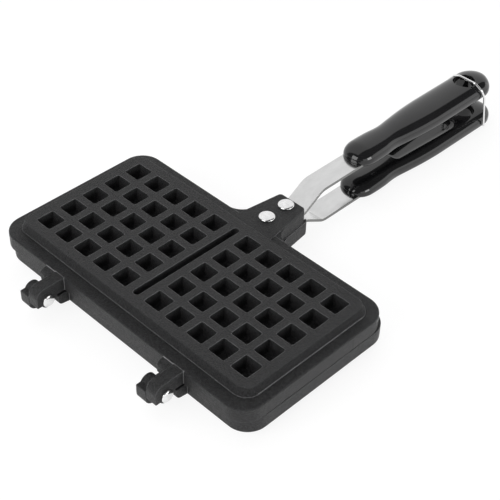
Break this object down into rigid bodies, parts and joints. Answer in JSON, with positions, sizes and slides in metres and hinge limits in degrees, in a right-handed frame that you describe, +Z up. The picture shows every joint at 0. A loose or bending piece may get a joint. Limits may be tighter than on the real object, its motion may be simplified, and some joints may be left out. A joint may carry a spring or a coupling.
{
  "type": "stovetop waffle iron",
  "caption": "Hinged pair of cast plates with a pocketed waffle grid, riveted steel straps, moulded grips and a wire clip, used over a stove burner.",
  "frame": {"origin": "middle of the footprint on the surface that the lower plate rests on", "axes": "+X along the hinge, +Y from the hinge towards the grips, +Z up"},
  "size_m": [0.218, 0.3794, 0.0426],
  "materials": {
    "cast_plate": "black non-stick coating, satin",
    "strap_steel": "satin",
    "bright_steel": "polished",
    "moulded_grip": "high gloss"
  },
  "bodies": {
    "lower_half": {"bottom_plate": "cast_plate", "hinge_pin_left": "bright_steel", "hinge_pin_right": "bright_steel", "bottom_strap": "strap_steel", "bottom_rivet_inner": "bright_steel", "bottom_rivet_outer": "bright_steel", "bottom_grip": "moulded_grip", "bottom_grip_screw": "bright_steel"},
    "upper_half": {"top_plate": "cast_plate", "top_strap": "strap_steel", "top_rivet_inner": "bright_steel", "top_rivet_outer": "bright_steel", "top_grip": "moulded_grip", "top_grip_screw": "bright_steel"},
    "clip": {"handle_clip": "bright_steel"}
  },
  "joints": [
    {"name": "lid_hinge", "type": "hinge", "parent": "lower_half", "child": "upper_half", "pos_m": [0, -0.1815, 0.0164], "axis": [1, 0, 0], "range_deg": [0, 130]},
    {"name": "clip_swing", "type": "hinge", "parent": "upper_half", "child": "clip", "pos_m": [0, 0.1719, 0.0038], "axis": [-1, 0, 0], "range_deg": [0, 100]}
  ]
}
